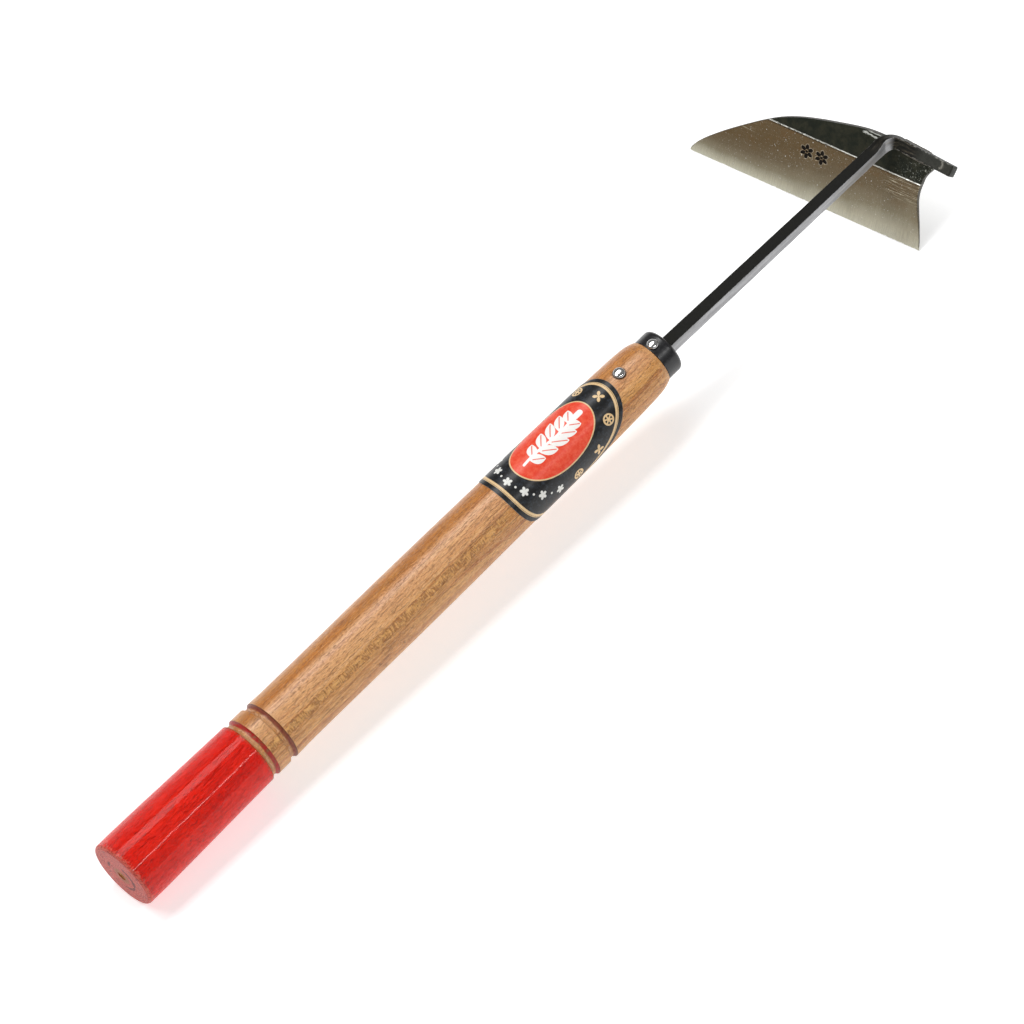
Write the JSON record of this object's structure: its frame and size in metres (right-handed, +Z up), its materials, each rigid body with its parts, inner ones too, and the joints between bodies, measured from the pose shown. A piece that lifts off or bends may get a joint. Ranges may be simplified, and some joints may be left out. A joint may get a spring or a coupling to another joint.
{
  "type": "hand weeding sickle",
  "caption": "Short hand weeding sickle: curved bevelled blade welded to a cranked, twisted square steel neck, pinned in a turned wooden handle with a dipped butt and a wrap label.",
  "frame": {"origin": "bottom centre of the bounding box, with the tool lying at rest on the rim of its butt and on its cutting edge", "axes": "+Z up; +X level along the handle, from the butt to the blade; +Y towards the blade's tip"},
  "size_m": [0.444, 0.1154, 0.0426],
  "materials": {
    "handle_wood": "clear-varnished open-grained hardwood, satin",
    "red_lacquer": "glossy red lacquer, grain showing through",
    "black_ferrule": "satin black enamel",
    "forged_bar": "black forge scale, edges rubbed grey",
    "ground_steel": "ground bevel with cross scratches, black scale above the bevel line",
    "weld_metal": "rough as-welded",
    "pin_plating": "bright plated domed head",
    "label_paper": null
  },
  "bodies": {
    "root": {"handle": "handle_wood", "lacquer_coat": "red_lacquer", "ferrule": "black_ferrule", "neck": "forged_bar", "blade": "ground_steel", "weld_bead_front": "weld_metal", "weld_bead_back": "weld_metal", "handle_pin": "pin_plating", "ferrule_pin": "pin_plating", "label": "label_paper"}
  },
  "joints": []
}
